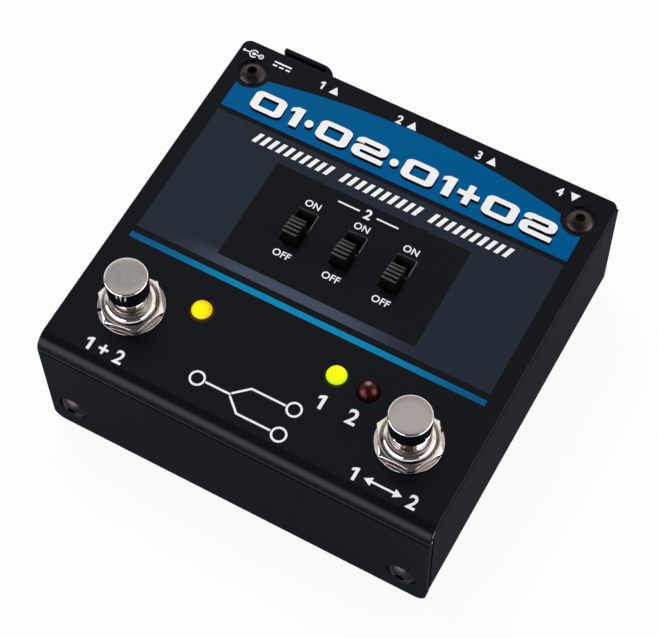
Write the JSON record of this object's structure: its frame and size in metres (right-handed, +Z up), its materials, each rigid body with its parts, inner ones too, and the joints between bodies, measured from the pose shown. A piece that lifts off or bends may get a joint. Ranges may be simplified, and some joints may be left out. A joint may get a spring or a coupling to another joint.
{
  "type": "floor switch pedal",
  "caption": "Low black sheet-metal floor box with round push footswitches, ridged slide switches, indicator lenses, rear jack sockets and a cable hook.",
  "frame": {"origin": "middle of the box's footprint, on the underside of the base pad", "axes": "+Z up, +Y to the back panel with the jacks, +X to the right seen from the front"},
  "size_m": [0.0984, 0.101, 0.052],
  "materials": {
    "cover_paint": "semi-gloss black powder coat with printed panels",
    "chassis_paint": "semi-gloss black powder coat",
    "pad_rubber": "closed-cell neoprene sheet",
    "screw_black_nickel": "black nickel plated",
    "cap_chrome": "nickel plated brass, faced top",
    "nickel": "nickel plated",
    "housing_plastic": "moulded phenolic",
    "contact_brass": "silver plated brass",
    "spring_steel": "drawn wire",
    "plated_steel": "zinc plated",
    "knob_plastic": "moulded nylon",
    "socket_plastic": "moulded glass-filled nylon",
    "lens_amber": "lit tinted epoxy",
    "lens_green": "lit tinted epoxy",
    "lens_red": "unlit tinted epoxy",
    "spacer_nylon": "moulded nylon",
    "board_green": "glass-epoxy with solder mask",
    "core_iron": "stacked laminations",
    "winding_copper": "taped winding",
    "can_sleeve": "shrink sleeve"
  },
  "bodies": {
    "case": {"base_pad": "pad_rubber", "board_headers": "housing_plastic", "board_screws": "plated_steel", "board_standoffs": "plated_steel", "cable_hook": "chassis_paint", "capacitors": "can_sleeve", "chassis": "chassis_paint", "clinch_nuts": "plated_steel", "dc_inlet": "socket_plastic", "dc_pin": "contact_brass", "footswitch_bushing_left": "nickel", "footswitch_bushing_right": "nickel", "footswitch_housing_left": "housing_plastic", "footswitch_housing_right": "housing_plastic", "footswitch_lugs_left": "contact_brass", "footswitch_lugs_right": "contact_brass", "front_screws": "screw_black_nickel", "hex_nuts": "nickel", "hook_screw": "screw_black_nickel", "inner_nuts": "nickel", "jack_body_1": "socket_plastic", "jack_body_2": "socket_plastic", "jack_body_3": "socket_plastic", "jack_body_4": "socket_plastic", "jack_contacts": "contact_brass", "jack_nuts": "nickel", "jack_washers": "nickel", "keyed_washers": "nickel", "led_amber": "lens_amber", "led_green": "lens_green", "led_leads": "contact_brass", "led_red": "lens_red", "led_spacers": "spacer_nylon", "main_board": "board_green", "return_spring_left": "spring_steel", "return_spring_right": "spring_steel", "slide_base_left": "housing_plastic", "slide_base_middle": "housing_plastic", "slide_base_right": "housing_plastic", "slide_frame_left": "plated_steel", "slide_frame_middle": "plated_steel", "slide_frame_right": "plated_steel", "slide_pins": "contact_brass", "switch_board": "board_green", "top_cover": "cover_paint", "top_screws": "screw_black_nickel", "transformer_core": "core_iron", "transformer_winding": "winding_copper"},
    "plunger_left": {"footswitch_cap_left": "cap_chrome", "footswitch_plunger_left": "nickel", "contact_bridge_left": "contact_brass"},
    "plunger_right": {"footswitch_cap_right": "cap_chrome", "footswitch_plunger_right": "nickel", "contact_bridge_right": "contact_brass"},
    "slide_left": {"slide_knob_left": "knob_plastic", "slide_wiper_left": "contact_brass"},
    "slide_middle": {"slide_knob_middle": "knob_plastic", "slide_wiper_middle": "contact_brass"},
    "slide_right": {"slide_knob_right": "knob_plastic", "slide_wiper_right": "contact_brass"}
  },
  "joints": [
    {"name": "footswitch_left_press", "type": "slide", "parent": "case", "child": "plunger_left", "axis": [0, 0, -1], "range_m": [0, 0.003], "stiffness_N_per_m": 1500, "springref_m": -0.004, "deforming": ["return_spring_left"]},
    {"name": "footswitch_right_press", "type": "slide", "parent": "case", "child": "plunger_right", "axis": [0, 0, -1], "range_m": [0, 0.003], "stiffness_N_per_m": 1500, "springref_m": -0.004, "deforming": ["return_spring_right"]},
    {"name": "slide_left_throw", "type": "slide", "parent": "case", "child": "slide_left", "axis": [0, 1, 0], "range_m": [0, 0.004]},
    {"name": "slide_middle_throw", "type": "slide", "parent": "case", "child": "slide_middle", "axis": [0, 1, 0], "range_m": [0, 0.004]},
    {"name": "slide_right_throw", "type": "slide", "parent": "case", "child": "slide_right", "axis": [0, 1, 0], "range_m": [0, 0.004]}
  ]
}
